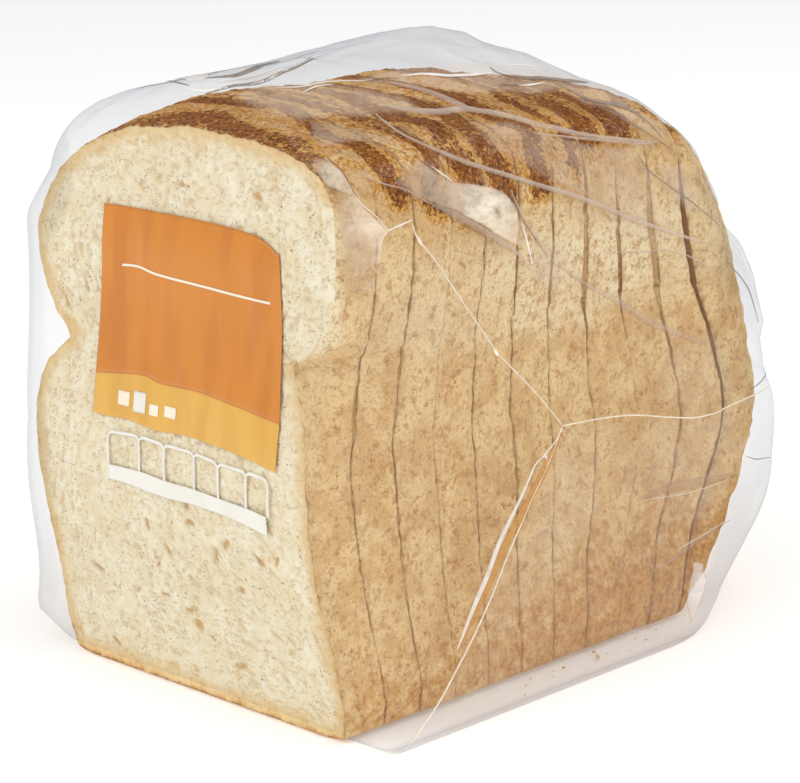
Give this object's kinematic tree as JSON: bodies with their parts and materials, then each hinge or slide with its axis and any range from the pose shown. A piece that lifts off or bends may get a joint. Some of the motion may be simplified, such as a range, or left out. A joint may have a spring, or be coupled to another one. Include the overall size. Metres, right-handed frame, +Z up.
{
  "type": "loaf in bread bag",
  "caption": "Sliced loaf with a mushroom-shaped section, standing in a clear film bag with a flat printed end and a side weld.",
  "frame": {"origin": "middle of the base of the bag's box, on the surface that the bag stands on", "axes": "+Z up, -Y out of the printed flat end of the bag, +X towards the side that shows the weld"},
  "size_m": [0.121, 0.1574, 0.143],
  "materials": {
    "film": "gloss",
    "crumb": "matte",
    "crust": "matte",
    "weld": "gloss"
  },
  "bodies": {
    "root": {"bread_bag": "film"}
  },
  "joints": []
}
